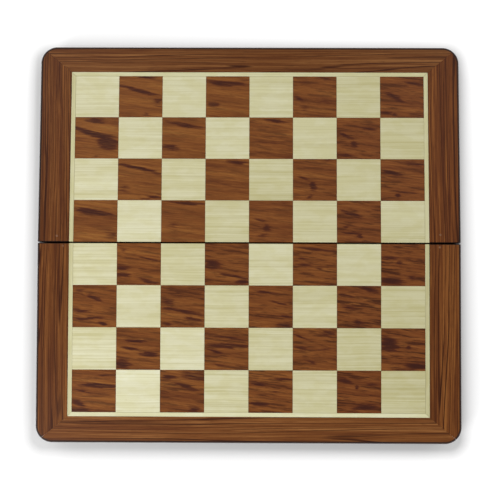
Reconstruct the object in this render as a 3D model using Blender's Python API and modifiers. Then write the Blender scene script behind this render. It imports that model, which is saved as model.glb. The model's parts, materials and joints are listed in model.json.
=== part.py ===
"""Folding chess board: two shallow wooden trays, hinged along one edge, whose outer faces make one board.

It lies open with the playing surface up. The hinge knuckles stand a little proud of the rims, so the open
board rests on its knuckles and its two outer rims, and the fold is a slight ridge.

X runs along the fold, Y across it, and Z is up. Each half is modelled in a frame of its own, with the hinge
axis along X through the origin, Y away from the fold and Z towards the playing surface.
"""

import math

import bmesh
import bpy
from mathutils import Matrix

# Playing surface, in metres
file_count = 8
ranks_per_half = 4
file_pitch = 0.03175
rank_pitch = 0.0304
stringing_width = 0.003
veneer_thickness = 0.0012
pocket_depth = 0.0008
corner_bridge = 0.0001

# Trays
tray_height = 0.022
side_frame_width = 0.0232
end_frame_width = 0.0191
wall_thickness = 0.010
hinge_rail_thickness = 0.010
corner_radius = 0.012
top_round_radius = 0.0024
rim_ease = 0.0006
panel_lip_thickness = 0.0024
ledge_thickness = 0.002
ledge_width = 0.003
felt_thickness = 0.001

# Hinges
hinge_offset = 0.085
hinge_length = 0.030
knuckle_count = 3
knuckle_radius = 0.002
pin_radius = 0.0008
pin_overhang = 0.0004
pin_ease = 0.0002
leaf_width = 0.009
leaf_thickness = 0.001
screw_inset = 0.0055
screw_spacing = 0.018
screw_hole_radius = 0.0011
countersink_radius = 0.0019
countersink_depth = 0.0007
pilot_radius = 0.0008
pilot_depth = 0.0075

# Magnets
magnet_radius = 0.003
magnet_thickness = 0.0025
magnet_ease = 0.0002

# Clearances
joint_gap = 0.0003
fold_clearance = 0.0002
rim_clearance = 0.00015
cut_overrun = 0.002

# Facets
corner_steps = 8
round_segments = 4
ease_segments = 2
hinge_facets = 32
hole_facets = 20
magnet_facets = 32

# Tolerances of the modelling tools
weld_distance = 1e-6
flat_angle = math.radians(0.5)
sharp_angle = math.radians(35)

# Plan lines of one half, each on the middle of a joint
seam = joint_gap / 2
field_x = file_count * file_pitch / 2
field_y = ranks_per_half * rank_pitch
frame_x = field_x + stringing_width
frame_y = field_y + stringing_width
half_width = frame_x + side_frame_width
half_depth = frame_y + end_frame_width
mitre_slope = end_frame_width / side_frame_width
ledge_x = frame_x - ledge_width
ledge_y = frame_y - ledge_width * mitre_slope
cavity_x = half_width - wall_thickness
cavity_y = half_depth - wall_thickness
hinge_rail_y = fold_clearance + hinge_rail_thickness
hinge_shoulder_y = hinge_rail_y - ledge_width

# Levels of one half, from the hinge axis up
rim_z = rim_clearance
top_z = rim_z + tray_height
veneer_z = top_z - veneer_thickness
panel_top_z = veneer_z - joint_gap
lip_z = panel_top_z - panel_lip_thickness
ledge_z = lip_z - joint_gap
flange_z = ledge_z - ledge_thickness
felt_top_z = flange_z - joint_gap
felt_z = felt_top_z - felt_thickness

# Tilt of each half on its knuckles and outer rim
rim_reach = half_depth - rim_ease
ridge_tilt = math.atan2(rim_z, rim_reach) + math.asin(knuckle_radius / math.hypot(rim_reach, rim_z))

HALVES = ("rear", "front")
FILE_LETTERS = "abcdefghijklmnopqrstuvwxyz"


def clear_scene():
    """Removes the objects that a new scene starts with."""
    for old in list(bpy.data.objects):
        bpy.data.objects.remove(old, do_unlink=True)


def new_collection(name):
    """Adds a collection to the scene."""
    collection = bpy.data.collections.new(name)
    bpy.context.scene.collection.children.link(collection)
    return collection


def new_material(name, colour, roughness, metallic=0.0):
    """Makes a plain Principled material."""
    material = bpy.data.materials.new(name)
    material.use_nodes = True
    shader = material.node_tree.nodes["Principled BSDF"]
    shader.inputs["Base Color"].default_value = (*colour, 1.0)
    shader.inputs["Roughness"].default_value = roughness
    shader.inputs["Metallic"].default_value = metallic
    material.diffuse_color = (*colour, 1.0)
    return material


def new_axis(name, turn):
    """Adds the empty on the hinge axis that carries one half, tilted onto its outer rim."""
    axis = bpy.data.objects.new(name, None)
    axis.location = (0, 0, knuckle_radius)
    axis.rotation_euler = (-ridge_tilt, 0, turn)
    board.objects.link(axis)
    return axis


def link_piece(name, mesh, parent, material):
    """Adds a sub-part that hangs on its half's axis."""
    piece = bpy.data.objects.new(name, mesh)
    piece.parent = parent
    board.objects.link(piece)
    if not mesh.materials:
        mesh.materials.append(material)
    return piece


def link_cutter(name, mesh, parent):
    """Adds a cutter that hangs on its half's axis and is never drawn."""
    cutter = bpy.data.objects.new(name, mesh)
    cutter.parent = parent
    cutter.hide_render = True
    cutter.display_type = "WIRE"
    cutters.objects.link(cutter)
    return cutter


def mesh_from(bm, name):
    """Turns a bmesh into mesh data."""
    mesh = bpy.data.meshes.new(name)
    bm.to_mesh(mesh)
    bm.free()
    return mesh


def add_box(bm, x_span, y_span, z_span):
    """Adds a box between two corners to a bmesh."""
    spans = (x_span, y_span, z_span)
    box = bmesh.ops.create_cube(bm, size=1)
    for vertex in box["verts"]:
        for axis, (low, high) in enumerate(spans):
            vertex.co[axis] = high if vertex.co[axis] > 0 else low


def box_mesh(name, *boxes):
    """Makes mesh data of one or more separate boxes."""
    bm = bmesh.new()
    for spans in boxes:
        add_box(bm, *spans)
    return mesh_from(bm, name)


def add_rod(bm, x_span, radius, facets):
    """Adds a round rod along the hinge axis to a bmesh."""
    low, high = x_span
    place = Matrix.Translation(((low + high) / 2, 0, 0)) @ Matrix.Rotation(math.pi / 2, 4, "Y")
    bmesh.ops.create_cone(
        bm, cap_ends=True, segments=facets, radius1=radius, radius2=radius, depth=high - low, matrix=place
    )


def rod_mesh(name, spans, radius, facets=hinge_facets):
    """Makes mesh data of separate rods along the hinge axis."""
    bm = bmesh.new()
    for x_span in spans:
        add_rod(bm, x_span, radius, facets)
    return mesh_from(bm, name)


def upright_mesh(name, centres, z_span, radius_low, radius_high, facets=hole_facets):
    """Makes mesh data of separate upright cylinders or cones at the given places."""
    low, high = z_span
    bm = bmesh.new()
    for x, y in centres:
        cone = bmesh.ops.create_cone(
            bm, cap_ends=True, segments=facets, radius1=radius_low, radius2=radius_high, depth=high - low
        )
        bmesh.ops.translate(bm, verts=cone["verts"], vec=(x, y, (low + high) / 2))
    return mesh_from(bm, name)


def plate_mesh(name, outline, z_span):
    """Makes a flat plate from a plan outline, drawn as a filled curve and turned into a closed mesh."""
    low, high = z_span
    curve = bpy.data.curves.new(name, "CURVE")
    curve.dimensions = "2D"
    curve.fill_mode = "BOTH"
    curve.extrude = (high - low) / 2
    spline = curve.splines.new("POLY")
    spline.points.add(len(outline) - 1)
    for point, (x, y) in zip(spline.points, outline):
        point.co = (x, y, 0, 1)
    spline.use_cyclic_u = True
    drawn = bpy.data.objects.new(name, curve)
    bpy.context.scene.collection.objects.link(drawn)
    bpy.context.view_layer.update()
    evaluated = drawn.evaluated_get(bpy.context.evaluated_depsgraph_get())
    mesh = bpy.data.meshes.new_from_object(evaluated)
    bpy.data.objects.remove(drawn)
    bm = bmesh.new()
    bm.from_mesh(mesh)
    bmesh.ops.translate(bm, verts=bm.verts, vec=(0, 0, (low + high) / 2))
    bmesh.ops.remove_doubles(bm, verts=bm.verts, dist=weld_distance)
    bmesh.ops.dissolve_limit(bm, angle_limit=flat_angle, verts=bm.verts, edges=bm.edges)
    bmesh.ops.recalc_face_normals(bm, faces=bm.faces)
    bm.to_mesh(mesh)
    bm.free()
    return mesh


def arc(centre, radius, start, end):
    """Points of a round stretch between two angles in degrees."""
    points = []
    for step in range(corner_steps + 1):
        angle = math.radians(start + (end - start) * step / corner_steps)
        points.append((centre[0] + radius * math.cos(angle), centre[1] + radius * math.sin(angle)))
    return points


def mirrored(points):
    """The same points on the other side of the middle, in reverse order."""
    return [(-x, y) for x, y in reversed(points)]


def boolean(piece, tool, operation="DIFFERENCE"):
    """Cuts, keeps or joins with another object, exactly."""
    modifier = piece.modifiers.new(tool.name, "BOOLEAN")
    modifier.operation = operation
    modifier.solver = "EXACT"
    modifier.object = tool


def weighted_bevel(piece, width, segments):
    """Rounds the edges that carry a bevel weight."""
    modifier = piece.modifiers.new("rounded_edges", "BEVEL")
    modifier.limit_method = "WEIGHT"
    modifier.width = width
    modifier.segments = segments


def angle_bevel(piece, width):
    """Eases every sharp edge of a small turned piece."""
    modifier = piece.modifiers.new("eased_edges", "BEVEL")
    modifier.limit_method = "ANGLE"
    modifier.angle_limit = sharp_angle
    modifier.width = width
    modifier.segments = ease_segments


def shade_round(piece):
    """Shades a round piece smooth up to its sharp edges."""
    piece.data.shade_smooth()
    piece.data.set_sharp_from_angle(angle=sharp_angle)


def frame_mesh():
    """The U-shaped frame of one half, still in one piece, with its outer edges marked to be rounded."""
    corner = arc((half_width - corner_radius, half_depth - corner_radius), corner_radius, 0, 90)
    outer = [(half_width, fold_clearance)] + corner
    outer = outer + mirrored(outer)
    inner = [(-ledge_x, fold_clearance), (-ledge_x, ledge_y), (ledge_x, ledge_y), (ledge_x, fold_clearance)]
    mesh = plate_mesh("frame_stock", outer + inner, (rim_z, top_z))
    bm = bmesh.new()
    bm.from_mesh(mesh)
    weights = bm.edges.layers.float.new("bevel_weight_edge")
    middle_z = (rim_z + top_z) / 2
    for edge in bm.edges:
        low, high = sorted(edge.verts, key=lambda vertex: vertex.co.z)
        outside = all(beyond_wall(vertex.co) for vertex in edge.verts)
        level = high.co.z - low.co.z < weld_distance
        at_fold = all(vertex.co.y < fold_clearance + weld_distance for vertex in edge.verts)
        if outside and level and not at_fold:
            edge[weights] = 1 if low.co.z > middle_z else rim_ease / top_round_radius
    bm.to_mesh(mesh)
    bm.free()
    return mesh


def beyond_wall(point):
    """Whether a plan point of the frame lies on its outer side rather than along the tray."""
    return abs(point.x) > cavity_x or point.y > cavity_y


def side_region(side):
    """Plan of the part of the frame that one side rail keeps, up to its mitre."""
    outer_x = half_width + cut_overrun
    inner_x = ledge_x - cut_overrun
    drop = seam * math.hypot(1, mitre_slope)
    outer_y = half_depth + (outer_x - half_width) * mitre_slope - drop
    inner_y = half_depth - (half_width - inner_x) * mitre_slope - drop
    points = [(outer_x, -cut_overrun), (outer_x, outer_y), (inner_x, inner_y), (inner_x, -cut_overrun)]
    return [(side * x, y) for x, y in points]


def end_region():
    """Plan of the part of the frame that the end rail keeps, between its two mitres."""
    outer_x = half_width + cut_overrun
    inner_x = ledge_x - cut_overrun
    lift = seam * math.hypot(1, mitre_slope)
    outer_y = half_depth + (outer_x - half_width) * mitre_slope + lift
    inner_y = half_depth - (half_width - inner_x) * mitre_slope + lift
    right = [(inner_x, inner_y), (outer_x, outer_y)]
    return right + mirrored(right)


def build_rails(half, axis, right_sign):
    """The two side rails and the end rail: one moulding, hollowed, rebated and mitred."""
    height = (rim_z - cut_overrun, top_z + cut_overrun)
    cavity = link_cutter(
        half + "_cavity",
        box_mesh(half + "_cavity", ((-cavity_x, cavity_x), (-cut_overrun, cavity_y), (height[0], flange_z))),
        axis,
    )
    rebate = link_cutter(
        half + "_rebate",
        box_mesh(
            half + "_rebate",
            ((-frame_x - seam, frame_x + seam), (-cut_overrun, frame_y + seam), (ledge_z, height[1])),
        ),
        axis,
    )
    regions = {
        "right_rail": side_region(right_sign),
        "left_rail": side_region(-right_sign),
        "end_rail": end_region(),
    }
    for rail, region in regions.items():
        name = half + "_" + rail
        saw = link_cutter(name + "_mitre", plate_mesh(name + "_mitre", region, height), axis)
        piece = link_piece(name, frame_mesh(), axis, rosewood)
        weighted_bevel(piece, top_round_radius, round_segments)
        boolean(piece, cavity)
        boolean(piece, rebate)
        boolean(piece, saw, "INTERSECT")
        if rail == "end_rail":
            cut_magnet_pocket(piece, half, axis)


def magnet_y():
    """Place of the magnet in the middle of the end rail's wall."""
    return half_depth - wall_thickness / 2


def cut_magnet_pocket(rail, half, axis):
    """Bores the blind pocket that the magnet is set in."""
    span = (rim_z - cut_overrun, rim_z + magnet_thickness + joint_gap)
    radius = magnet_radius + joint_gap
    mesh = upright_mesh(half + "_magnet_pocket", [(0, magnet_y())], span, radius, radius, magnet_facets)
    boolean(rail, link_cutter(half + "_magnet_pocket", mesh, axis))


def build_magnet(half, axis):
    """The disc magnet set flush in the end rail's rim."""
    span = (rim_z, rim_z + magnet_thickness)
    name = half + "_magnet"
    mesh = upright_mesh(name, [(0, magnet_y())], span, magnet_radius, magnet_radius, magnet_facets)
    magnet = link_piece(name, mesh, axis, nickel)
    angle_bevel(magnet, magnet_ease)
    shade_round(magnet)


def hinge_places():
    """Middles of the hinges along the fold."""
    return (-hinge_offset, hinge_offset)


def screw_places(hinge_x):
    """Plan places of one leaf's screws."""
    return [(hinge_x - screw_spacing / 2, screw_inset), (hinge_x + screw_spacing / 2, screw_inset)]


def build_hinge_rail(half, axis):
    """The wall along the fold, with its rebate for the panel, side notches and hinge mortises."""
    rail_x = cavity_x - joint_gap
    name = half + "_hinge_rail"
    body = ((-rail_x, rail_x), (fold_clearance, hinge_rail_y), (rim_z, panel_top_z))
    rail = link_piece(name, box_mesh(name, body), axis, rosewood)
    beyond = rail_x + cut_overrun
    across = (-cut_overrun, hinge_rail_y + cut_overrun)
    above = panel_top_z + cut_overrun
    panel_seat = ((-beyond, beyond), (hinge_shoulder_y, across[1]), (ledge_z, above))
    boolean(rail, link_cutter(name + "_rebate", box_mesh(name + "_rebate", panel_seat), axis))
    flange_notches = []
    ear_notches = []
    for side in (-1, 1):
        inner = sorted((side * (ledge_x - joint_gap), side * beyond))
        outer = sorted((side * (frame_x - seam), side * beyond))
        flange_notches.append((inner, across, (flange_z - joint_gap, ledge_z + joint_gap)))
        ear_notches.append((outer, across, (ledge_z, above)))
    boolean(rail, link_cutter(name + "_flange", box_mesh(name + "_flange", *flange_notches), axis))
    boolean(rail, link_cutter(name + "_ears", box_mesh(name + "_ears", *ear_notches), axis))
    cut_hinge_seats(rail, name, axis)


def cut_hinge_seats(rail, name, axis):
    """Mortises for the leaves, a groove for the knuckles and pilot holes for the screws."""
    mortises = []
    grooves = []
    pilots = []
    for hinge_x in hinge_places():
        reach = hinge_length / 2 + joint_gap
        groove_reach = reach + pin_overhang
        y_span = (-cut_overrun, leaf_width + joint_gap)
        z_span = (rim_z - cut_overrun, rim_z + leaf_thickness + joint_gap)
        mortises.append(((hinge_x - reach, hinge_x + reach), y_span, z_span))
        grooves.append((hinge_x - groove_reach, hinge_x + groove_reach))
        pilots += screw_places(hinge_x)
    groove_radius = knuckle_radius + joint_gap
    pilot_span = (rim_z, rim_z + pilot_depth)
    boolean(rail, link_cutter(name + "_mortises", box_mesh(name + "_mortises", *mortises), axis))
    boolean(rail, link_cutter(name + "_grooves", rod_mesh(name + "_grooves", grooves, groove_radius), axis))
    pilot_mesh = upright_mesh(name + "_pilots", pilots, pilot_span, pilot_radius, pilot_radius)
    boolean(rail, link_cutter(name + "_pilots", pilot_mesh, axis))


def build_panel(half, axis):
    """The core panel: a lip that lies on the ledges, and a body that fills the space between them."""
    name = half + "_panel"
    lip_x = frame_x - seam
    lip_y_span = (hinge_shoulder_y + joint_gap, frame_y - seam)
    lip = ((-lip_x, lip_x), lip_y_span, (lip_z, panel_top_z))
    panel = link_piece(name, box_mesh(name, lip), axis, plywood)
    body_x = ledge_x - joint_gap
    body_y_span = (hinge_rail_y + joint_gap, ledge_y - joint_gap)
    body = ((-body_x, body_x), body_y_span, (flange_z, (lip_z + panel_top_z) / 2))
    boolean(panel, link_cutter(name + "_body", box_mesh(name + "_body", body), axis), "UNION")


def build_felt(half, axis):
    """The felt liner under the panel, from wall to wall."""
    name = half + "_felt"
    felt_x = cavity_x - joint_gap
    spans = ((-felt_x, felt_x), (hinge_rail_y + joint_gap, cavity_y - joint_gap), (felt_z, felt_top_z))
    link_piece(name, box_mesh(name, spans), axis, felt)


def square_span(index, count, pitch, start, inset, edge_inset):
    """One square's extent along a row, inset at its neighbours and, by another amount, at the row's ends."""
    low = start + index * pitch + (edge_inset if index == 0 else inset)
    high = start + (index + 1) * pitch - (edge_inset if index == count - 1 else inset)
    return low, high


def square_plan(column, row, inset, edge_inset):
    """Extents of one square of a half, counted from its left and from the fold."""
    x_span = square_span(column, file_count, file_pitch, -field_x, inset, edge_inset)
    y_span = square_span(row, ranks_per_half, rank_pitch, 0, inset, edge_inset)
    return x_span, y_span


def dark_squares():
    """Columns and rows of the dark squares of a half."""
    places = []
    for row in range(ranks_per_half):
        for column in range(file_count):
            if (column + row) % 2 == 0:
                places.append((column, row))
    return places


def build_field(half, axis):
    """The pale veneer of one half: the pale squares, with a shallow pocket for each dark one."""
    name = half + "_light_squares"
    field_spans = ((-field_x + seam, field_x - seam), (fold_clearance, field_y - seam), (veneer_z, top_z))
    field = link_piece(name, box_mesh(name, field_spans), axis, maple)
    pockets = []
    z_span = (top_z - pocket_depth, top_z + cut_overrun)
    for column, row in dark_squares():
        pockets.append((*square_plan(column, row, corner_bridge, -cut_overrun), z_span))
    boolean(field, link_cutter(name + "_pockets", box_mesh(name + "_pockets", *pockets), axis))


def build_dark_squares(half, axis, square_name):
    """The dark squares of one half, each in its pocket."""
    inset = corner_bridge + joint_gap
    z_span = (top_z - pocket_depth + joint_gap, top_z)
    for column, row in dark_squares():
        name = "dark_square_" + square_name(column, row)
        x_span, y_span = square_plan(column, row, inset, seam)
        if row == 0:
            y_span = (fold_clearance, y_span[1])
        link_piece(name, box_mesh(name, (x_span, y_span, z_span)), axis, rosewood_veneer)


def build_stringing(half, axis, right_sign):
    """The three pale strips round the squares of one half, mitred at the corners."""
    drop = seam * math.hypot(1, 1)
    inner_x = field_x + seam
    outer_x = frame_x - seam
    inner_y = field_y + seam
    outer_y = frame_y - seam
    side = [(outer_x, fold_clearance), (outer_x, outer_y - drop)]
    side += [(inner_x, inner_y - drop), (inner_x, fold_clearance)]
    corner = [(inner_x - drop, inner_y), (outer_x - drop, outer_y)]
    outlines = {
        "right": [(right_sign * x, y) for x, y in side],
        "left": [(-right_sign * x, y) for x, y in side],
        "end": corner + mirrored(corner),
    }
    for place, outline in outlines.items():
        name = half + "_" + place + "_stringing"
        link_piece(name, plate_mesh(name, outline, (veneer_z, top_z)), axis, maple)


def knuckle_span(index):
    """Extent of one knuckle along the hinge, from its middle."""
    pitch = hinge_length / knuckle_count
    low = -hinge_length / 2 + index * pitch + (seam if index > 0 else 0)
    high = -hinge_length / 2 + (index + 1) * pitch - (seam if index < knuckle_count - 1 else 0)
    return low, high


def leaf_notches(hinge_x, owned):
    """Boxes that clear a leaf's plate round the other leaf's knuckles."""
    boxes = []
    for index in range(knuckle_count):
        if index in owned:
            continue
        low, high = knuckle_span(index)
        low -= joint_gap + seam if index > 0 else cut_overrun
        high += joint_gap + seam if index < knuckle_count - 1 else cut_overrun
        y_span = (-cut_overrun, knuckle_radius + joint_gap)
        z_span = (rim_z - cut_overrun, rim_z + leaf_thickness + cut_overrun)
        boxes.append(((hinge_x + low, hinge_x + high), y_span, z_span))
    return boxes


def build_leaf(name, axis, hinge_x, owned):
    """One hinge leaf: its plate, its knuckles, the bore for the pin and the countersunk screw holes."""
    plate_reach = hinge_length / 2 - seam
    plate = ((hinge_x - plate_reach, hinge_x + plate_reach), (0, leaf_width), (rim_z, rim_z + leaf_thickness))
    leaf = link_piece(name, box_mesh(name, plate), axis, brass)
    notches = box_mesh(name + "_notches", *leaf_notches(hinge_x, owned))
    boolean(leaf, link_cutter(name + "_notches", notches, axis))
    knuckles = []
    for index in owned:
        low, high = knuckle_span(index)
        knuckles.append((hinge_x + low, hinge_x + high))
    barrel = link_cutter(name + "_barrel", rod_mesh(name + "_barrel", knuckles, knuckle_radius), axis)
    boolean(leaf, barrel, "UNION")
    reach = hinge_length / 2 + cut_overrun
    bore = rod_mesh(name + "_bore", [(hinge_x - reach, hinge_x + reach)], pin_radius + joint_gap)
    boolean(leaf, link_cutter(name + "_bore", bore, axis))
    places = screw_places(hinge_x)
    through = (rim_z - cut_overrun, rim_z + leaf_thickness + cut_overrun)
    hole = upright_mesh(name + "_holes", places, through, screw_hole_radius, screw_hole_radius)
    boolean(leaf, link_cutter(name + "_holes", hole, axis))
    boolean(leaf, link_cutter(name + "_countersinks", countersink_mesh(name + "_countersinks", places), axis))
    shade_round(leaf)


def countersink_mesh(name, places):
    """Cones that run on past the rim and into the screw holes by one joint gap."""
    slope = (countersink_radius - screw_hole_radius) / countersink_depth
    wide = countersink_radius + slope * joint_gap
    narrow = screw_hole_radius - slope * joint_gap
    z_span = (rim_z - joint_gap, rim_z + countersink_depth + joint_gap)
    return upright_mesh(name, places, z_span, wide, narrow)


def build_pin(name, axis, hinge_x):
    """The pin of one hinge, a little longer than its knuckles."""
    reach = hinge_length / 2 + pin_overhang
    pin = link_piece(name, rod_mesh(name, [(hinge_x - reach, hinge_x + reach)], pin_radius), axis, brass)
    angle_bevel(pin, pin_ease)
    shade_round(pin)


def build_hinge_parts(half, axis, right_sign):
    """The leaves of one half; the rear half also holds the pins."""
    outer_knuckles = tuple(range(0, knuckle_count, 2))
    inner_knuckles = tuple(range(1, knuckle_count, 2))
    owned = outer_knuckles if half == "rear" else inner_knuckles
    for hinge_x in hinge_places():
        side = "right" if hinge_x * right_sign > 0 else "left"
        build_leaf(side + "_hinge_" + half + "_leaf", axis, hinge_x, owned)
        if half == "rear":
            build_pin(side + "_hinge_pin", axis, hinge_x)


def rear_square_name(column, row):
    """A rear square's name as players call it, with the first file on the left."""
    return FILE_LETTERS[column] + str(ranks_per_half + row + 1)


def front_square_name(column, row):
    """A front square's name; the front half is turned round, so its files run the other way."""
    return FILE_LETTERS[file_count - 1 - column] + str(ranks_per_half - row)


def build_half(half):
    """All of one tray. The front half is the rear one turned half round about the vertical."""
    turn = 0 if half == "rear" else math.pi
    right_sign = 1 if half == "rear" else -1
    axis = new_axis(half + "_half_axis", turn)
    build_rails(half, axis, right_sign)
    build_hinge_rail(half, axis)
    build_panel(half, axis)
    build_felt(half, axis)
    build_field(half, axis)
    build_dark_squares(half, axis, rear_square_name if half == "rear" else front_square_name)
    build_stringing(half, axis, right_sign)
    build_hinge_parts(half, axis, right_sign)
    build_magnet(half, axis)


clear_scene()
board = new_collection("folding_chess_board")
cutters = new_collection("cutters")
rosewood = new_material("rosewood", (0.16, 0.052, 0.020), 0.42)
rosewood_veneer = new_material("rosewood_veneer", (0.20, 0.065, 0.022), 0.40)
maple = new_material("maple", (0.62, 0.56, 0.33), 0.45)
plywood = new_material("plywood", (0.45, 0.30, 0.16), 0.65)
felt = new_material("felt", (0.03, 0.09, 0.045), 0.95)
brass = new_material("brass", (0.72, 0.48, 0.18), 0.30, 1.0)
nickel = new_material("nickel", (0.62, 0.61, 0.58), 0.25, 1.0)
for half_name in HALVES:
    build_half(half_name)
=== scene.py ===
import json
import math
import random
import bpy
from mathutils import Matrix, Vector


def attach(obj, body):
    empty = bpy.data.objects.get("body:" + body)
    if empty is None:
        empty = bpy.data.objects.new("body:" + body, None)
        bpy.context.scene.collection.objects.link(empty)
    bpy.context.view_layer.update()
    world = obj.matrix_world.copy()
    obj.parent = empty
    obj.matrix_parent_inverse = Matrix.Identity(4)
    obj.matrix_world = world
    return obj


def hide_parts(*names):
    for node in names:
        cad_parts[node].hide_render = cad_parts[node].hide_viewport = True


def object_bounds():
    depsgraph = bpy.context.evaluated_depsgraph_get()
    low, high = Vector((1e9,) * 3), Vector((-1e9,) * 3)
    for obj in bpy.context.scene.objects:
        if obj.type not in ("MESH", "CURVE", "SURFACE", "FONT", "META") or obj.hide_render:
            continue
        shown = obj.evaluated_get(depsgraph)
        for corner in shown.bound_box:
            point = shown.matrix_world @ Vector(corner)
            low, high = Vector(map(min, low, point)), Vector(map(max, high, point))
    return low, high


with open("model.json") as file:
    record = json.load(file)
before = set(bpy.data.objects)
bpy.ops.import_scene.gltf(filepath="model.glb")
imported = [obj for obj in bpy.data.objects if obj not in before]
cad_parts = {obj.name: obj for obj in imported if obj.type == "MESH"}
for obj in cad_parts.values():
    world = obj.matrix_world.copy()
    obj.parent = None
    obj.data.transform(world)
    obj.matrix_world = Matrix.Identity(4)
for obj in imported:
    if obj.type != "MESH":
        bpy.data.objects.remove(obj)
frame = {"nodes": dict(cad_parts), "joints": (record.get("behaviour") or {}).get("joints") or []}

from types import SimpleNamespace

import bmesh
import bpy
from mathutils import Matrix, Vector, noise

cad_low, cad_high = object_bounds()
chance = random.Random(8)

# The two halves: the joint that they turn on, and how far each leans on its knuckles
fold = frame["joints"][0]
ridge_tilt = -math.radians(fold["range_deg"][0]) / 2
HALVES = ("rear", "front")
FILE_LETTERS = "abcdefgh"

# Counts and sizes that the frame's boxes don't give, in metres
file_count = 8
ranks_per_half = 4
corner_radius = 0.012
top_round_radius = 0.0024
rim_ease = 0.0006
ledge_thickness = 0.002
ledge_width = 0.003
leaf_thickness = 0.001
leaf_corner_radius = 0.0006
leaf_ease = 0.00012
knuckle_ease = 0.0002
knuckle_count = 3
pin_ease = 0.0002
magnet_ease = 0.00025
screw_inset = 0.0055
screw_spacing = 0.018
screw_hole_radius = 0.0011
countersink_radius = 0.0019
countersink_depth = 0.0007
countersink_slope = (countersink_radius - screw_hole_radius) / countersink_depth
pilot_radius = 0.0008
pilot_depth = 0.0075
screw_lip = 0.0001
slot_reach = 0.003
slot_half_width = 0.00018
slot_low = -0.001
slot_high = 0.00042
brad_radius = 0.0008
brad_depth = 0.004
brad_proud = 0.00002
ply_pitch = 0.0016
felt_columns = 96
felt_rows = 44
felt_allowance = 0.0001
felt_edge_ease = 0.00022
felt_edge_width = 0.0012
felt_wave = 0.0001
felt_wave_rate = 38
FELT_SEEDS = {"rear": 3.0, "front": 9.0}

# Fits between dressed pieces, finer than the clearances of the plain solids
hairline = 0.00004
inlay_line = 0.00008
hardware_fit = 0.00008
overrun = 0.002

# Easing
tile_ease = 0.00007
fold_ease = 0.0005
rail_ease = 0.0003

# How the dark leaves lie in the wood: the step from one leaf to the next, and the room of one run
leaf_step = 0.008
run_step = 0.7

# Facets
corner_steps = 28
round_segments = 8
ease_segments = 3
fine_segments = 2
leaf_corner_segments = 5
turned_facets = 56
small_facets = 40
brad_facets = 32
pilot_facets = 24
weld_distance = 1e-6
smooth_angle = math.radians(32)


def half_place(half):
    """The frame of one half in the world: X along the fold, Y away from it, Z towards the playing surface."""
    turn = 0 if half == "rear" else math.pi
    lean = Matrix.Rotation(turn, 4, "Z") @ Matrix.Rotation(-ridge_tilt, 4, "X")
    return Matrix.Translation(fold["pos_m"]) @ lean


def span(node, half="rear"):
    """Lowest and highest corner of a CAD node in the frame of its half."""
    inverse = half_place(half).inverted()
    points = [inverse @ vertex.co for vertex in frame["nodes"][node].data.vertices]
    low = Vector(min(point[axis] for point in points) for axis in range(3))
    high = Vector(max(point[axis] for point in points) for axis in range(3))
    return low, high


def read_plan():
    """Plan lines and levels of a half, taken from its CAD nodes."""
    strip = span("rear_right_stringing")
    end_strip = span("rear_end_stringing")
    side = span("rear_right_rail")
    panel = span("rear_panel")
    felt = span("rear_felt")
    seam = (strip[0].x - span("dark_square_h6")[1].x) / 2
    gap = 2 * seam
    return SimpleNamespace(
        gap=gap,
        field_x=strip[0].x - seam,
        field_y=(end_strip[0].y + span("dark_square_h8")[1].y) / 2,
        frame_x=strip[1].x + seam,
        frame_y=end_strip[1].y + seam,
        half_width=side[1].x,
        half_depth=span("rear_end_rail")[1].y,
        fold_y=side[0].y,
        rim_z=side[0].z,
        top_z=side[1].z,
        panel_top_z=panel[1].z,
        flange_z=panel[0].z,
        cavity_x=felt[1].x + gap,
        cavity_y=felt[1].y + gap,
        hinge_rail_y=span("rear_hinge_rail")[1].y,
    )


P = read_plan()
file_pitch = 2 * P.field_x / file_count
rank_pitch = P.field_y / ranks_per_half
mitre_slope = (P.half_depth - P.frame_y) / (P.half_width - P.frame_x)
ledge_x = P.frame_x - ledge_width
ledge_y = P.frame_y - ledge_width * mitre_slope
ledge_z = P.flange_z + ledge_thickness


# Mesh helpers

# What a tool does to the mesh that it works on
CUT, KEEP, JOIN = "DIFFERENCE", "INTERSECT", "UNION"


def new_object(name, data):
    """Adds an object to the scene."""
    made = bpy.data.objects.new(name, data)
    bpy.context.scene.collection.objects.link(made)
    return made


def mesh_from(bm, name):
    """Turns a bmesh into mesh data."""
    bmesh.ops.remove_doubles(bm, verts=bm.verts, dist=weld_distance)
    bmesh.ops.recalc_face_normals(bm, faces=bm.faces)
    mesh = bpy.data.meshes.new(name)
    bm.to_mesh(mesh)
    bm.free()
    return mesh


def add_box(bm, x_span, y_span, z_span):
    """Adds a box between two corners and returns its points."""
    spans = (x_span, y_span, z_span)
    points = bmesh.ops.create_cube(bm, size=1)["verts"]
    for vertex in points:
        for axis, (low, high) in enumerate(spans):
            vertex.co[axis] = high if vertex.co[axis] > 0 else low
    return points


def box_mesh(name, *boxes):
    """Makes mesh data of one or more separate boxes."""
    bm = bmesh.new()
    for spans in boxes:
        add_box(bm, *spans)
    return mesh_from(bm, name)


def add_plate(bm, outline, z_span):
    """Adds a flat plate with the given outline."""
    low, high = z_span
    face = bm.faces.new([bm.verts.new((x, y, low)) for x, y in outline])
    grown = bmesh.ops.extrude_face_region(bm, geom=[face])
    raised = [item for item in grown["geom"] if isinstance(item, bmesh.types.BMVert)]
    bmesh.ops.translate(bm, verts=raised, vec=(0, 0, high - low))


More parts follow.
